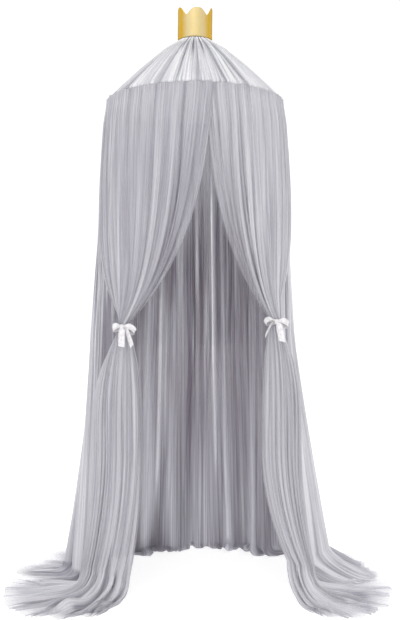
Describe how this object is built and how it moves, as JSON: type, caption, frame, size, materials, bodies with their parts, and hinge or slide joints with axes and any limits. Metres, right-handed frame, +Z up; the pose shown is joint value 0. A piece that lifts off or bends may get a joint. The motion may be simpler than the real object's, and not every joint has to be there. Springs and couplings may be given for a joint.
{
  "type": "mosquito net canopy and hoop",
  "caption": "Round bed canopy of sheer net on a hoop: a pleated cone roof under a crown-shaped collar, front drapes tied back with ribbons, and a hem that trails on the floor.",
  "frame": {"origin": "the hanging point: the top of the roof's gathered neck, inside the crown-shaped collar, 1.925 m above the floor that the hem lies on", "axes": "+Z up, -Y out through the front opening, +X to the right as seen from the front"},
  "size_m": [1.3363, 1.0965, 1.985],
  "materials": {
    "grey_net": "sheer fine net, soft",
    "pale_roof_net": "very sheer fine net, soft",
    "white_satin": "satin ribbon",
    "gold_cloth": "stiff gold cloth with a soft metallic sheen",
    "white_plastic": "smooth rod"
  },
  "bodies": {
    "root": {"hoop": "white_plastic", "roof": "pale_roof_net", "crown": "gold_cloth", "back_panel": "grey_net", "drape_left": "grey_net", "drape_right": "grey_net", "tie_left": "white_satin", "tie_right": "white_satin"}
  },
  "joints": []
}
